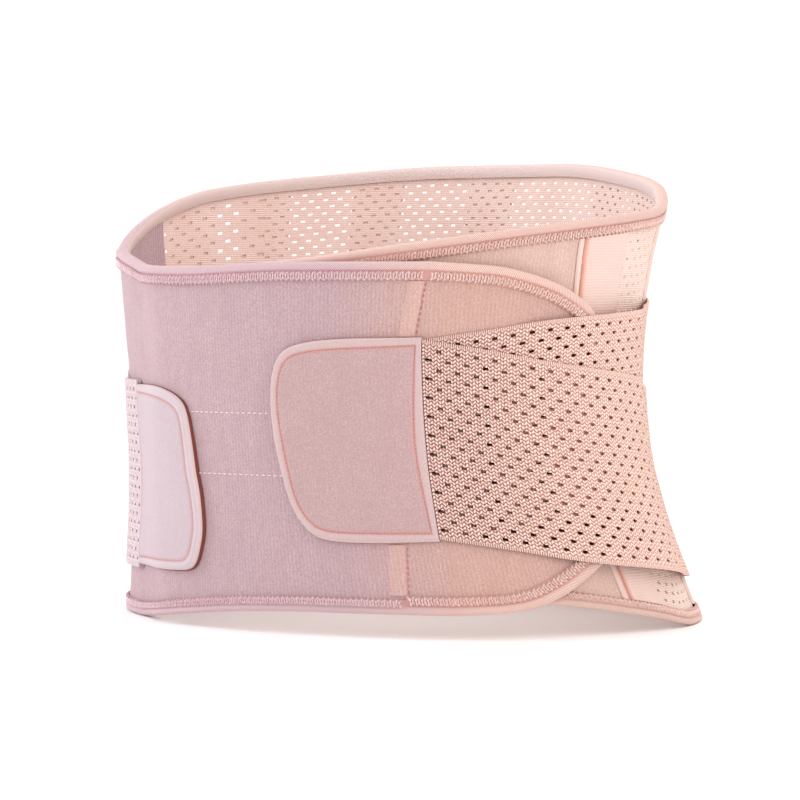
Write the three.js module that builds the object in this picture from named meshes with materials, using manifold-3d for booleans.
import * as THREE from 'three';
import { mergeVertices } from 'three/addons/utils/BufferGeometryUtils.js';
import Module from 'manifold-3d';

// Lumbar support belt, fastened in a loop and standing on its lower edge.
// Millimetres. +Z is up, the front faces -Y and the wearer's left is +X.
// A place on the wrap is a turn in degrees, counted from the front centre over the wearer's
// left to the back (180) and on round, so the front that laps over has turns past 360.

const wasm = await Module();
wasm.setup();

// Form of the wrap
const waistHalfWidth = 135;
const bellyDepth = 97;
const lumbarDepth = 114.6;
const hipFlare = 18.2;
const crestFlare = 13;
const lumbarCurve = 20.8;
const backHeight = 222;
const frontHeight = 171;
const frontArch = 15;

// Walls and the gap between neighbours
const clearance = 0.3;
const foldEase = 0.6;
const panelWall = 2.6;
const meshWall = 1.2;
const meshInset = 0.5;
const channelWall = 1.2;
const strapWall = 1.1;
const tabWall = 3.1;
const bandWall = 0.8;
const bindingWall = 0.8;
const cordRadius = 1.2;

// Widths and lengths
const bindingWidth = 8.6;
const bindingHemWidth = 7;
const bindingInnerWidth = 6.4;
const channelWidth = 24;
const sideBandWidth = 30;
const strapWidth = 92;
const leftTabBreadth = 94;
const leftTabLength = 72;
const rightTabBreadth = 88;
const rightTabLength = 64;
const seamBandWidth = 7;
const tabRimDrop = 1.1;

// Places round the wrap, as turns
const underEndTurn = -15;
const seamFootTurn = 90;
const seamHeadTurn = 85;
const joinFootTurn = 399;
const joinHeadTurn = 408.4;
const tongueReach = 50;
const leftTabTurn = 407.9;
const rightTabTurn = 327;
const strapAnchorFromBack = 16;

// Heights
const leftTabHeight = 91.7;
const rightTabHeight = 69.5;
const underAnchorHeight = 116;
const overAnchorHeight = 60;
const tongueMidHeight = 92;
const tongueHalfHeight = 81.6;

// The net is cut through in staggered slots
const slotHeight = 5;
const netSlotLength = 9;
const netSlotRows = 4;
const strapSlotLength = 14;
const strapSlotRows = 3;
const strapSlotColumns = 4;

// Grid that every cloth piece is laid out on, so that layers run parallel
const turnStep = 7.5;
const heightStep = 30;

// Form by height: level is a share of backHeight, hip of hipFlare, crest of crestFlare
// and lean of lumbarCurve.
const FORM = [
  { level: 0.00, hip: 1.00, crest: 0.00, lean: 0.05 },
  { level: 0.07, hip: 0.77, crest: 0.00, lean: -0.13 },
  { level: 0.15, hip: 0.52, crest: 0.00, lean: -0.33 },
  { level: 0.25, hip: 0.25, crest: 0.00, lean: -0.54 },
  { level: 0.38, hip: 0.04, crest: 0.00, lean: -0.77 },
  { level: 0.50, hip: 0.00, crest: 0.00, lean: -0.89 },
  { level: 0.62, hip: 0.00, crest: 0.13, lean: -0.95 },
  { level: 0.78, hip: 0.00, crest: 0.49, lean: -0.88 },
  { level: 0.90, hip: 0.00, crest: 0.81, lean: -0.72 },
  { level: 1.02, hip: 0.00, crest: 1.00, lean: -0.46 },
];

// Upper edge: rise is the share of the way from frontHeight up to backHeight.
const UPPER_EDGE = [
  { turn: -15, rise: -0.050 },
  { turn: 18, rise: 0.065 },
  { turn: 44, rise: 0.220 },
  { turn: 71, rise: 0.367 },
  { turn: 101, rise: 0.488 },
  { turn: 123, rise: 0.575 },
  { turn: 141, rise: 0.775 },
  { turn: 156, rise: 0.885 },
  { turn: 180, rise: 1.000 },
  { turn: 206, rise: 0.990 },
  { turn: 237, rise: 0.885 },
  { turn: 260, rise: 0.755 },
  { turn: 274, rise: 0.580 },
  { turn: 294, rise: 0.285 },
  { turn: 303, rise: 0.175 },
  { turn: 314, rise: 0.150 },
  { turn: 326, rise: 0.080 },
  { turn: 335, rise: 0.015 },
  { turn: 352, rise: 0.000 },
  { turn: 380, rise: 0.045 },
  { turn: 410, rise: 0.050 },
];

// Lower edge: lift is a share of frontArch. Where it is nought the edge rests on the ground.
const LOWER_EDGE = [
  { turn: -15, lift: 0.85 },
  { turn: 45, lift: 0.97 },
  { turn: 69, lift: 0.98 },
  { turn: 78, lift: 0.845 },
  { turn: 92, lift: 0.54 },
  { turn: 100, lift: 0.33 },
  { turn: 109, lift: 0.07 },
  { turn: 114, lift: 0.00 },
  { turn: 327, lift: 0.00 },
  { turn: 339, lift: 0.15 },
  { turn: 348, lift: 0.32 },
  { turn: 366, lift: 0.60 },
  { turn: 382, lift: 0.70 },
  { turn: 410, lift: 0.70 },
];

// Rounded end of the tongue: reach is a share of tongueReach, rise of tongueHalfHeight.
const TONGUE_END = [
  { reach: 0.00, rise: -1.00 },
  { reach: 0.20, rise: -0.985 },
  { reach: 0.33, rise: -0.955 },
  { reach: 0.47, rise: -0.885 },
  { reach: 0.62, rise: -0.785 },
  { reach: 0.76, rise: -0.675 },
  { reach: 0.89, rise: -0.50 },
  { reach: 0.97, rise: -0.27 },
  { reach: 1.00, rise: 0.00 },
  { reach: 0.98, rise: 0.27 },
  { reach: 0.93, rise: 0.51 },
  { reach: 0.83, rise: 0.71 },
  { reach: 0.69, rise: 0.82 },
  { reach: 0.53, rise: 0.90 },
  { reach: 0.33, rise: 0.965 },
  { reach: 0.17, rise: 0.985 },
  { reach: 0.00, rise: 1.00 },
];

// Free ends of the pull tabs: along is a share of the tab's length from the straps, up of its
// breadth.
const LEFT_TAB_END = [
  { along: 0.00, up: -0.50 },
  { along: 0.45, up: -0.512 },
  { along: 0.74, up: -0.505 },
  { along: 0.87, up: -0.455 },
  { along: 0.95, up: -0.34 },
  { along: 0.985, up: -0.17 },
  { along: 1.00, up: 0.02 },
  { along: 0.985, up: 0.20 },
  { along: 0.94, up: 0.33 },
  { along: 0.86, up: 0.42 },
  { along: 0.72, up: 0.465 },
  { along: 0.45, up: 0.49 },
  { along: 0.00, up: 0.50 },
];
const RIGHT_TAB_END = [
  { along: 0.00, up: -0.50 },
  { along: 0.42, up: -0.50 },
  { along: 0.70, up: -0.495 },
  { along: 0.857, up: -0.482 },
  { along: 0.93, up: -0.44 },
  { along: 0.975, up: -0.356 },
  { along: 1.00, up: -0.255 },
  { along: 0.985, up: -0.08 },
  { along: 0.948, up: 0.06 },
  { along: 0.92, up: 0.22 },
  { along: 0.88, up: 0.363 },
  { along: 0.81, up: 0.433 },
  { along: 0.66, up: 0.478 },
  { along: 0.45, up: 0.50 },
  { along: 0.00, up: 0.50 },
];

// Run of the crossing straps: along is the share of the way from the tab to the back, under and
// over are each strap's share of the way from the tab's height to its anchor's. The way counts
// from where the two straps part, which is a share called fork of the run from the tab.
const STRAP_RUN = [
  { along: 0.00, under: 0.00, over: 0.00 },
  { along: 0.12, under: 0.18, over: 0.15 },
  { along: 0.25, under: 0.37, over: 0.33 },
  { along: 0.45, under: 0.50, over: 0.53 },
  { along: 0.60, under: 0.60, over: 0.71 },
  { along: 1.00, under: 1.00, over: 1.00 },
];

// Bone channels, as turns from the back centre on the wearer's left and right.
const CHANNELS = [
  { name: 'back', left: 16, right: 16 },
  { name: 'mid', left: 31.5, right: 41 },
  { name: 'flank', left: 47, right: 66 },
];

// Reads one column of a table at a place along another, by a monotone cubic.
function readTable(rows, key, column, at) {
  const last = rows.length - 1;
  if (at <= rows[0][key]) return rows[0][column];
  if (at >= rows[last][key]) return rows[last][column];
  let i = 0;
  while (at > rows[i + 1][key]) i += 1;
  const grade = (k) => (rows[k + 1][column] - rows[k][column]) / (rows[k + 1][key] - rows[k][key]);
  const tangent = (k) => {
    if (k === 0) return grade(0);
    if (k === last) return grade(last - 1);
    const before = grade(k - 1);
    const after = grade(k);
    return before * after <= 0 ? 0 : (2 * before * after) / (before + after);
  };
  const span = rows[i + 1][key] - rows[i][key];
  const u = (at - rows[i][key]) / span;
  return THREE.MathUtils.lerp(rows[i][column], rows[i + 1][column], u * u * (3 - 2 * u))
    + span * u * (1 - u) * ((1 - u) * tangent(i) - u * tangent(i + 1));
}

// Reads a straight-line table of [turn, value] pairs.
function readLine(pairs, at) {
  if (at <= pairs[0][0]) return pairs[0][1];
  for (let i = 1; i < pairs.length; i += 1) {
    if (at <= pairs[i][0]) {
      const u = (at - pairs[i - 1][0]) / (pairs[i][0] - pairs[i - 1][0]);
      return THREE.MathUtils.lerp(pairs[i - 1][1], pairs[i][1], u);
    }
  }
  return pairs[pairs.length - 1][1];
}

const upperEdge = (turn) =>
  THREE.MathUtils.lerp(frontHeight, backHeight, readTable(UPPER_EDGE, 'turn', 'rise', turn));
const lowerEdge = (turn) => frontArch * readTable(LOWER_EDGE, 'turn', 'lift', turn);

// Half sizes of the wrap's inner face at a height.
function planAt(height) {
  const level = height / backHeight;
  const flare = hipFlare * readTable(FORM, 'level', 'hip', level)
    + crestFlare * readTable(FORM, 'level', 'crest', level);
  const scale = 1 + flare / waistHalfWidth;
  return {
    width: waistHalfWidth * scale,
    front: bellyDepth * scale,
    back: lumbarDepth * scale,
    shift: lumbarCurve * readTable(FORM, 'level', 'lean', level),
  };
}

// A point of the true form, moved out of the inner face by offset.
function formPoint(turn, height, offset) {
  const plan = planAt(height);
  const angle = THREE.MathUtils.degToRad(turn);
  const sine = Math.sin(angle);
  const cosine = Math.cos(angle);
  const depth = cosine > 0 ? plan.front : plan.back;
  const normal = new THREE.Vector2(sine / plan.width, -cosine / depth).normalize();
  return new THREE.Vector3(
    plan.width * sine + normal.x * offset,
    plan.shift - depth * cosine + normal.y * offset,
    height,
  );
}

// The same point on the form's facets, which all pieces share. The offset is a function of the
// turn, and is read at the grid's columns.
function skin(turn, height, offset) {
  const column = Math.floor(turn / turnStep + 1e-9) * turnStep;
  const next = column + turnStep;
  const row = Math.floor(height / heightStep + 1e-9) * heightStep;
  const u = (turn - column) / turnStep;
  const v = (height - row) / heightStep;
  const low = formPoint(column, row, offset(column)).lerp(formPoint(next, row, offset(next)), u);
  const high = formPoint(column, row + heightStep, offset(column))
    .lerp(formPoint(next, row + heightStep, offset(next)), u);
  return low.lerp(high, v);
}

// Millimetres of the inner face to one degree of turn, at the waist.
function girthPerDegree(turn) {
  const angle = THREE.MathUtils.degToRad(turn);
  const depth = Math.cos(angle) > 0 ? bellyDepth : lumbarDepth;
  return Math.hypot(waistHalfWidth * Math.cos(angle), depth * Math.sin(angle)) * Math.PI / 180;
}

// The turn that lies a length along the girth from another turn.
function turnAfter(turn, length) {
  const steps = 40;
  let at = turn;
  for (let i = 0; i < steps; i += 1) at += length / steps / girthPerDegree(at);
  return at;
}

// How far the layers stand out from the wrap's inner face.
const fold = foldEase + bindingWall;
const channelFoot = meshInset + meshWall + clearance;
const channelTop = channelFoot + channelWall;
const lapLift = panelWall + 2 * fold + 2 * clearance;
const overChannels = Math.max(channelTop, panelWall + cordRadius) + clearance;
const tongueLift = Math.max(lapLift, overChannels + fold);
const columnAt = (turn) => Math.floor(turn / turnStep + 1e-9) * turnStep;
const ramp = 2 * turnStep;
const seamMargin = (cordRadius + clearance) / girthPerDegree(seamFootTurn);
const lapColumn = columnAt(360 + underEndTurn);
const sideColumn = columnAt(360 + Math.min(seamHeadTurn, seamFootTurn) - seamMargin);
const OUTER_LIFT = [
  [lapColumn - ramp, 0],
  [lapColumn, lapLift],
  [sideColumn - ramp, lapLift],
  [sideColumn, tongueLift],
];
const outerLift = (turn) => readLine(OUTER_LIFT, turn);
const onPanel = (turn) => outerLift(turn) + panelWall + clearance;

// How far the straps stand out, as turns and offsets: over the tongue's bound tip and then
// the channels on the left, over the channels and then the panel on the right.
const overTongue = tongueLift + panelWall + fold + 2 * clearance;
const tipStart = columnAt(joinHeadTurn + tongueReach * 0.55);
const tipEnd = columnAt(joinHeadTurn + tongueReach) + turnStep;
const LEFT_SEAT = [
  [tipStart - turnStep, lapLift + panelWall + clearance],
  [tipStart, overTongue],
  [tipEnd, overTongue],
  [tipEnd + ramp, overChannels],
];
const panelColumn = columnAt(360 - Math.min(seamHeadTurn, seamFootTurn) + seamMargin) + turnStep;
const RIGHT_SEAT = [[panelColumn, overChannels], [panelColumn + ramp, panelWall + clearance]];

// Cuts a polygon of [turn, height] points at one grid line.
function clip(polygon, axis, limit, keepAbove) {
  const kept = [];
  const inside = (p) => (keepAbove ? p[axis] >= limit : p[axis] <= limit);
  polygon.forEach((point, i) => {
    const next = polygon[(i + 1) % polygon.length];
    if (inside(point)) kept.push(point);
    if (inside(point) !== inside(next)) {
      const u = (limit - point[axis]) / (next[axis] - point[axis]);
      const cut = [0, 1].map((k) => THREE.MathUtils.lerp(point[k], next[k], u));
      cut[axis] = limit;
      kept.push(cut);
    }
  });
  return kept;
}

function dropRepeats(polygon) {
  return polygon.filter((point, i) => {
    const next = polygon[(i + 1) % polygon.length];
    return Math.hypot(point[0] - next[0], point[1] - next[1]) > 1e-6;
  });
}

function area(polygon) {
  return polygon.reduce((sum, point, i) => {
    const next = polygon[(i + 1) % polygon.length];
    return sum + (point[0] * next[1] - next[0] * point[1]) / 2;
  }, 0);
}

// A closed solid from an outline in turn and height, between two offsets.
function cloth(outline, inner, outer, rimDrop = 0) {
  const turns = outline.map((p) => p[0]);
  const heights = outline.map((p) => p[1]);
  const firstColumn = Math.floor(Math.min(...turns) / turnStep);
  const lastColumn = Math.ceil(Math.max(...turns) / turnStep);
  const firstRow = Math.floor(Math.min(...heights) / heightStep);
  const lastRow = Math.ceil(Math.max(...heights) / heightStep);
  const points = [];
  const lookup = new Map();
  const triangles = [];
  const indexOf = (point) => {
    const key = `${point[0].toFixed(6)} ${point[1].toFixed(6)}`;
    if (!lookup.has(key)) {
      lookup.set(key, points.length);
      points.push(point);
    }
    return lookup.get(key);
  };
  for (let c = firstColumn; c < lastColumn; c += 1) {
    for (let r = firstRow; r < lastRow; r += 1) {
      let cell = clip(outline, 0, c * turnStep, true);
      cell = clip(cell, 0, (c + 1) * turnStep, false);
      cell = clip(cell, 1, r * heightStep, true);
      cell = dropRepeats(clip(cell, 1, (r + 1) * heightStep, false));
      if (cell.length > 2 && Math.abs(area(cell)) > 1e-6) {
        const contour = cell.map((p) => new THREE.Vector2(p[0], p[1]));
        THREE.ShapeUtils.triangulateShape(contour, []).forEach((face) => {
          const corners = face.map((k) => cell[k]);
          const turned = area(corners) < 0 ? corners.reverse() : corners;
          triangles.push(turned.map(indexOf));
        });
      }
    }
  }
  const count = points.length;
  const indices = [];
  const rim = new Set();
  const edges = new Set(triangles.flatMap(([a, b, c]) => [`${a} ${b}`, `${b} ${c}`, `${c} ${a}`]));
  triangles.forEach(([a, b, c]) => {
    indices.push(a, b, c, count + a, count + c, count + b);
    [[a, b], [b, c], [c, a]].forEach(([from, to]) => {
      if (!edges.has(`${to} ${from}`)) {
        rim.add(from);
        indices.push(to, from, count + from, to, count + from, count + to);
      }
    });
  });
  const positions = [];
  points.forEach(([turn, height], i) => {
    const drop = rim.has(i) ? rimDrop : 0;
    positions.push(...skin(turn, height, (t) => outer(t) - drop).toArray());
  });
  points.forEach(([turn, height]) => positions.push(...skin(turn, height, inner).toArray()));
  const geometry = new THREE.BufferGeometry();
  geometry.setAttribute('position', new THREE.Float32BufferAttribute(positions, 3));
  geometry.setIndex(indices);
  return geometry;
}

// A closed solid swept through rings of points, with caps given as quads of ring places.
function sweep(rings, capQuads) {
  const size = rings[0].length;
  const positions = rings.flat().flatMap((point) => point.toArray());
  const indices = [];
  for (let i = 0; i < rings.length - 1; i += 1) {
    for (let k = 0; k < size; k += 1) {
      const a = i * size + k;
      const b = i * size + (k + 1) % size;
      indices.push(a, a + size, b + size, a, b + size, b);
    }
  }
  const end = (rings.length - 1) * size;
  capQuads.forEach((quad) => {
    for (let k = 1; k < quad.length - 1; k += 1) {
      indices.push(quad[0], quad[k], quad[k + 1]);
      indices.push(end + quad[0], end + quad[k + 1], end + quad[k]);
    }
  });
  const geometry = new THREE.BufferGeometry();
  geometry.setAttribute('position', new THREE.Float32BufferAttribute(positions, 3));
  geometry.setIndex(indices);
  return geometry;
}

// An outline from a lower and an upper line of heights between two turns.
function between(start, end, low, high, endLow = end, startLow = start) {
  const line = (from, to, height) => {
    const inside = [];
    for (let t = Math.ceil(from / turnStep) * turnStep; t < to - 0.5; t += turnStep) {
      if (t > from + 0.5) inside.push(t);
    }
    return [from, ...inside, to].map((turn) => [turn, height(turn)]);
  };
  return [...line(startLow, endLow, low), ...line(start, end, high).reverse()];
}

// Folded tape round an edge: stations give the edge's place and the way into the cloth, which
// lies on the right of their run.
function binding(stations, outerWidth, innerWidth, lift, rounded) {
  const soft = rounded ? bindingWall * 0.8 : 0;
  const out = panelWall + fold;
  const back = -fold;
  const rings = stations.map(({ turn, height, inTurn, inHeight }) => {
    const section = rounded
      ? [[outerWidth, out], [soft, out], [0, out - soft], [0, back]]
      : [[outerWidth, out], [0, out], [0, back]];
    section.push(
      [innerWidth, back],
      [innerWidth, back + bindingWall],
      [bindingWall, back + bindingWall],
      [bindingWall, out - bindingWall],
      [outerWidth, out - bindingWall],
    );
    return section.map(([depth, offset]) => skin(
      turn + depth * inTurn / girthPerDegree(turn),
      height + depth * inHeight,
      (t) => lift(t) + offset,
    ));
  });
  const caps = rounded
    ? [[0, 1, 7, 8], [1, 2, 3, 6, 7], [3, 4, 5, 6]]
    : [[0, 1, 6, 7], [1, 2, 5, 6], [2, 3, 4, 5]];
  return sweep(rings, caps);
}

function edgeStations(start, end, edge, inHeight) {
  const turns = [start];
  for (let t = Math.ceil((start + 0.5) / turnStep) * turnStep; t < end - 0.5; t += turnStep) {
    turns.push(t);
  }
  turns.push(end);
  const stations = turns.map((turn) => ({ turn, height: edge(turn), inTurn: 0, inHeight }));
  return inHeight < 0 ? stations : stations.reverse();
}

// Cuts slots, each given by its middle and half sizes in turn and height, out of a cloth solid.
function cutSlots(geometry, slots, inner, outer) {
  let solid = toManifold(geometry);
  const margin = 1;
  slots.forEach(({ turn, height, halfTurn, halfHeight, slope }) => {
    const corner = (u, v) => [turn + u * halfTurn, height + v * halfHeight + u * halfTurn * slope];
    const corners = [corner(-1, -1), corner(1, -1), corner(1, 1), corner(-1, 1)];
    const ring = (offset) => corners.map(([t, h]) => skin(t, h, offset));
    const top = ring((t) => outer(t) + margin);
    const foot = ring((t) => inner(t) - margin);
    solid = solid.subtract(toManifold(sweep([top, foot], [[0, 1, 2, 3]])));
  });
  return fromManifold(solid);
}

function toManifold(geometry) {
  const solid = new THREE.BufferGeometry();
  solid.setAttribute('position', geometry.attributes.position);
  solid.setIndex(geometry.index);
  const merged = mergeVertices(solid, 1e-4);
  return new wasm.Manifold(new wasm.Mesh({
    numProp: 3,
    vertProperties: new Float32Array(merged.attributes.position.array),
    triVerts: new Uint32Array(merged.index.array),
  }));
}

function fromManifold(solid) {
  const mesh = solid.getMesh();
  const geometry = new THREE.BufferGeometry();
  geometry.setAttribute('position', new THREE.BufferAttribute(mesh.vertProperties, 3));
  geometry.setIndex(new THREE.BufferAttribute(mesh.triVerts, 1));
  return geometry;
}

const belt = new THREE.Group();

function addPiece(name, geometry, color, roughness) {
  const material = new THREE.MeshStandardMaterial({ color, roughness, metalness: 0 });
  const piece = new THREE.Mesh(geometry, material);
  piece.name = name;
  belt.add(piece);
}

const PLUSH = 0xe8b9ac;
const NET = 0xeec0a9;
const SATIN = 0xf3d2c0;
const TAPE = 0xe39d97;
const TAB = 0xdc9a9b;

// Front panels
const tuck = bindingWall + clearance;
const upperTuck = (turn) => upperEdge(turn) - tuck;
const lowerTuck = (turn) => lowerEdge(turn) + tuck;
const leftSeamFoot = seamFootTurn;
const leftSeamHead = seamHeadTurn;
const rightSeamFoot = 360 - seamFootTurn;
const rightSeamHead = 360 - seamHeadTurn;

addPiece('inner_front_panel', cloth(
  between(underEndTurn, leftSeamHead - seamMargin, lowerTuck, upperTuck, leftSeamFoot - seamMargin),
  () => 0,
  () => panelWall,
), PLUSH, 0.95);

const halfJoin = clearance / 2 / girthPerDegree(joinHeadTurn);
addPiece('outer_front_panel', cloth(
  between(
    rightSeamHead + seamMargin,
    joinHeadTurn - halfJoin,
    lowerTuck,
    upperTuck,
    joinFootTurn - halfJoin,
    rightSeamFoot + seamMargin,
  ),
  outerLift,
  (turn) => outerLift(turn) + panelWall,
), PLUSH, 0.95);

// Tongue at the end of the outer panel, with its rounded tip
const tongueGirth = girthPerDegree(joinHeadTurn);
const tongueCurve = new THREE.SplineCurve(TONGUE_END.map(({ reach, rise }) =>
  new THREE.Vector2(reach * tongueReach * tongueGirth, rise * tongueHalfHeight)));
const tongueSteps = 18;

// Adds the places where a line of points crosses the grid's columns.
function onColumns(points) {
  const columnOf = (point) => (joinHeadTurn + point.x / tongueGirth) / turnStep;
  return points.flatMap((point, i) => {
    if (i === 0) return [point];
    const before = points[i - 1];
    const [from, to] = [columnOf(before), columnOf(point)];
    const column = to > from ? Math.floor(to) : Math.ceil(to);
    const share = (column - from) / (to - from);
    return share > 0.05 && share < 0.95 ? [before.clone().lerp(point, share), point] : [point];
  });
}
const tonguePath = onColumns([
  new THREE.Vector2(
    (joinFootTurn - joinHeadTurn + halfJoin) * tongueGirth,
    lowerEdge(joinFootTurn) - tongueMidHeight,
  ),
  ...tongueCurve.getSpacedPoints(tongueSteps),
]);
tonguePath[tonguePath.length - 1].x += halfJoin * tongueGirth;
const tongueRim = tonguePath.map((point, i, all) => {
  const before = all[Math.max(i - 1, 0)];
  const after = all[Math.min(i + 1, all.length - 1)];
  const way = after.clone().sub(before).normalize();
  if (i === 0) way.set(1, 0);
  if (i === all.length - 1) way.set(-1, 0);
  return {
    turn: joinHeadTurn + point.x / tongueGirth,
    height: tongueMidHeight + point.y,
    inTurn: -way.y,
    inHeight: way.x,
  };
});
const tongueTuck = tuck + clearance;
addPiece('tongue', cloth(
  tongueRim.map(({ turn, height, inTurn, inHeight }) => [
    Math.max(turn + tongueTuck * inTurn / tongueGirth, joinFootTurn + halfJoin),
    height + tongueTuck * inHeight,
  ]),
  outerLift,
  (turn) => outerLift(turn) + panelWall,
), PLUSH, 0.95);

// Net round the sides and the back
const fromBack = (side, turn) => 180 - side * turn;
const areaSlots = [];
const spansOn = (label) => CHANNELS.map((channel) => {
  const half = channelWidth / 2 / girthPerDegree(180 - channel[label]);
  return [channel[label] - half, channel[label] + half];
});
const channelSpans = { left: spansOn('left'), right: spansOn('right') };
const sideBandEnd = 180 - turnAfter(leftSeamHead + 2 * seamMargin, sideBandWidth);
const netGaps = (spans) => [
  [spans[0][1], spans[1][0]],
  [spans[1][1], spans[2][0]],
  [spans[2][1], sideBandEnd],
];
const netAreas = [
  [180 - channelSpans.left[0][0], 180 + channelSpans.right[0][0]],
  ...netGaps(channelSpans.left).map(([near, far]) => [180 - far, 180 - near]),
  ...netGaps(channelSpans.right).map(([near, far]) => [180 + near, 180 + far]),
];
netAreas.forEach(([start, end]) => {
  [0.27, 0.73].forEach((place, column) => {
    const turn = THREE.MathUtils.lerp(start, end, place);
    const low = lowerEdge(turn) + bindingHemWidth + slotHeight * 2;
    const high = upperEdge(turn) - bindingWidth - slotHeight * 2;
    for (let row = 0; row < netSlotRows; row += 1) {
      const share = (row + (column === 0 ? 0.25 : 0.75)) / netSlotRows;
      areaSlots.push({
        turn,
        height: THREE.MathUtils.lerp(low, high, share),
        halfTurn: netSlotLength / 2 / girthPerDegree(turn),
        halfHeight: slotHeight / 2,
        slope: 0,
      });
    }
  });
});
const netInner = () => meshInset;
const netOuter = () => meshInset + meshWall;
addPiece('back_net', cutSlots(cloth(
  between(
    leftSeamHead + seamMargin,
    rightSeamHead - seamMargin,
    lowerTuck,
    upperTuck,
    rightSeamFoot - seamMargin,
    leftSeamFoot + seamMargin,
  ),
  netInner,
  netOuter,
), areaSlots, netInner, netOuter), NET, 0.9);

// Bone channels on the outside of the net, and the corded seams before them
const underTop = (turn) => upperEdge(turn) - bindingWidth - clearance;
const overHem = (turn) => lowerEdge(turn) + bindingHemWidth + clearance;
const channelInner = () => channelFoot;
const channelOuter = () => channelTop;
function seamPlaces(side) {
  const place = (turn) => (side > 0 ? turn : 360 - turn);
  return { foot: place(seamFootTurn), head: place(seamHeadTurn) };
}
const SIDES = [{ label: 'left', side: 1 }, { label: 'right', side: -1 }];
SIDES.forEach(({ label, side }) => {
  CHANNELS.forEach(({ name }, i) => {
    const ends = channelSpans[label][i].map((turn) => fromBack(side, turn)).sort((a, b) => a - b);
    addPiece(
      `bone_channel_${name}_${label}`,
      cloth(between(ends[0], ends[1], overHem, underTop), channelInner, channelOuter),
      SATIN,
      0.6,
    );
  });
  const head = seamHeadTurn + 2 * seamMargin;
  const foot = seamFootTurn + 2 * seamMargin;
  const rear = 180 - sideBandEnd;
  const outline = side > 0
    ? between(head, rear, overHem, underTop, rear, foot)
    : between(360 - rear, 360 - head, overHem, underTop, 360 - foot, 360 - rear);
  addPiece(`bone_channel_side_${label}`, cloth(outline, channelInner, channelOuter), SATIN, 0.6);
  const seam = seamPlaces(side);
  const low = overHem(seam.foot);
  const high = underTop(seam.head);
  const heights = [low];
  for (let z = Math.ceil((low + 1) / heightStep) * heightStep; z < high - 1; z += heightStep) {
    heights.push(z);
  }
  heights.push(high);
  const rings = heights.map((height) => {
    const turn = THREE.MathUtils.mapLinear(
      height,
      lowerTuck(seam.foot),
      upperTuck(seam.head),
      seam.foot,
      seam.head,
    );
    const ring = [];
    for (let k = 0; k < 6; k += 1) {
      const angle = k * Math.PI / 3;
      ring.push(skin(
        turn + cordRadius * Math.cos(angle) / girthPerDegree(turn),
        height,
        () => panelWall + cordRadius * Math.sin(angle),
      ));
    }
    return ring;
  });
  addPiece(`corded_seam_${label}`, sweep(rings, [[0, 1, 2, 3, 4, 5]]), SATIN, 0.7);
});

// Folded edge bindings: one long tape on each edge, and one round the tongue
addPiece('upper_binding', binding(
  edgeStations(underEndTurn, joinHeadTurn - halfJoin, upperEdge, -1),
  bindingWidth,
  bindingInnerWidth,
  outerLift,
  true,
), TAPE, 0.85);
addPiece('lower_binding', binding(
  edgeStations(underEndTurn, joinFootTurn - halfJoin, lowerEdge, 1),
  bindingHemWidth,
  bindingInnerWidth,
  outerLift,
  false,
), TAPE, 0.85);
addPiece('tongue_binding', binding(
  tongueRim.slice().reverse(),
  bindingWidth,
  bindingInnerWidth,
  outerLift,
  true,
), TAPE, 0.85);

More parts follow.
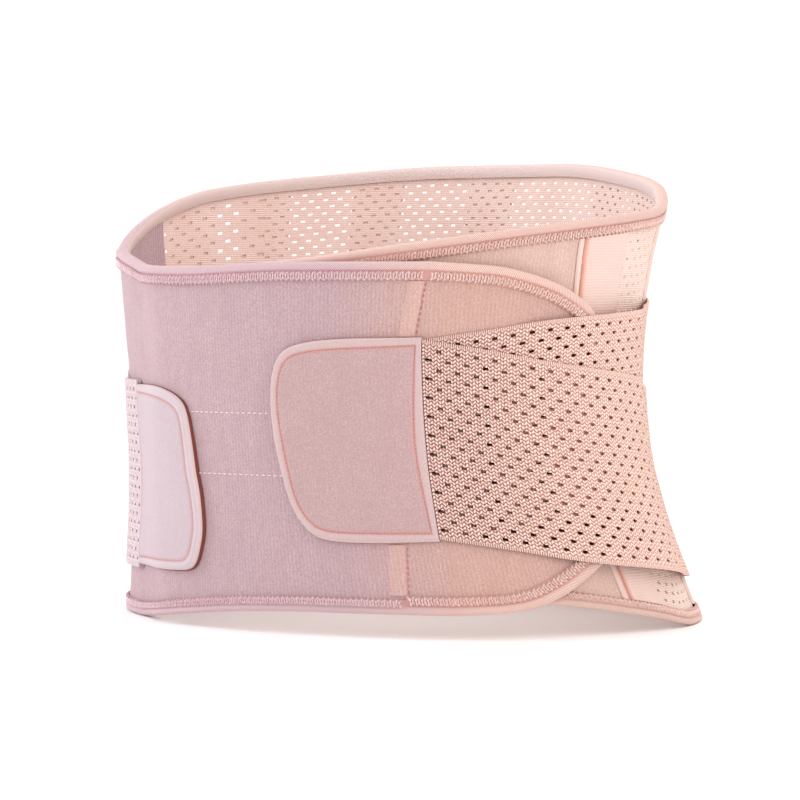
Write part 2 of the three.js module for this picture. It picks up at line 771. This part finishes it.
// Pull tabs on the front, and the two crossing straps that run back from each
const TABS = [
  {
    label: 'left',
    turn: leftTabTurn,
    way: -1,
    height: leftTabHeight,
    breadth: leftTabBreadth,
    length: leftTabLength,
    lean: 0.12,
    shape: LEFT_TAB_END,
    fork: 0,
    seat: LEFT_SEAT,
    end: 360 + 180 - strapAnchorFromBack,
  },
  {
    label: 'right',
    turn: rightTabTurn,
    way: 1,
    height: rightTabHeight,
    breadth: rightTabBreadth,
    length: rightTabLength,
    lean: 0,
    shape: RIGHT_TAB_END,
    fork: 0.14,
    seat: RIGHT_SEAT,
    end: 180 + strapAnchorFromBack,
  },
];
TABS.forEach((tab) => {
  const { label, turn: tabTurn, way, height: tabMid, breadth, length, lean, seat, fork, end } = tab;
  const outline = tab.shape.map(({ along, up }) => {
    const reach = along === 0 ? 0 : along + lean * up;
    return [turnAfter(tabTurn, way * reach * length), tabMid + up * breadth];
  });
  if (way < 0) outline.reverse();
  addPiece(`pull_tab_${label}`, cloth(
    outline,
    onPanel,
    (turn) => onPanel(turn) + tabWall,
    tabRimDrop,
  ), TAB, 0.9);

  const start = tabTurn - way * clearance / girthPerDegree(tabTurn);
  const run = (turn) => ((turn - start) / (end - start) - fork) / (1 - fork);
  const layers = [
    { name: 'under_strap', column: 'under', anchor: underAnchorHeight, level: 0 },
    { name: 'over_strap', column: 'over', anchor: overAnchorHeight, level: strapWall + clearance },
  ];
  layers.forEach(({ name, column, anchor, level }) => {
    const middle = (turn) => THREE.MathUtils.lerp(
      tabMid,
      anchor,
      readTable(STRAP_RUN, 'along', column, run(turn)),
    );
    const inner = (turn) => readLine(seat, turn) + level;
    const outer = (turn) => inner(turn) + strapWall;
    const slots = [];
    for (let i = 0; i < strapSlotColumns; i += 1) {
      for (let k = 0; k < strapSlotRows; k += 1) {
        const share = (i + (k % 2 === 0 ? 0.35 : 0.75)) / strapSlotColumns;
        const turn = THREE.MathUtils.lerp(start, end, share);
        const half = strapSlotLength / 2 / girthPerDegree(turn);
        slots.push({
          turn,
          height: middle(turn) + ((k + 0.5) / strapSlotRows - 0.5) * strapWidth,
          halfTurn: half,
          halfHeight: slotHeight / 2,
          slope: (middle(turn + half) - middle(turn - half)) / (2 * half),
        });
      }
    }
    const strip = between(
      Math.min(start, end),
      Math.max(start, end),
      (turn) => middle(turn) - strapWidth / 2,
      (turn) => middle(turn) + strapWidth / 2,
    );
    addPiece(`${name}_${label}`, cutSlots(cloth(strip, inner, outer), slots, inner, outer), NET, 0.9);
  });
});

// Raised tape on the join of the tongue, above and below the tab
const joinTurn = (height) => THREE.MathUtils.mapLinear(
  height,
  lowerTuck(joinFootTurn),
  upperTuck(joinHeadTurn),
  joinFootTurn,
  joinHeadTurn,
);
function joinBand(name, low, high) {
  const edgeAt = (height, away) => joinTurn(height) - (clearance + away) / tongueGirth;
  addPiece(name, cloth(
    [
      [edgeAt(low, seamBandWidth), low],
      [edgeAt(low, 0), low],
      [edgeAt(high, 0), high],
      [edgeAt(high, seamBandWidth), high],
    ],
    onPanel,
    (turn) => onPanel(turn) + bandWall,
  ), TAPE, 0.85);
}
joinBand('join_band_upper', leftTabHeight + leftTabBreadth / 2 + clearance, underTop(joinHeadTurn));
joinBand(
  'join_band_lower',
  lowerEdge(joinFootTurn) + bindingWidth + clearance,
  leftTabHeight - leftTabBreadth * 0.52,
);

// The origin is the middle of the belt's box, on the ground
const bounds = new THREE.Box3().setFromObject(belt);
const middle = bounds.getCenter(new THREE.Vector3());
belt.children.forEach(({ geometry }) => geometry.translate(-middle.x, -middle.y, -bounds.min.z));

export default belt;
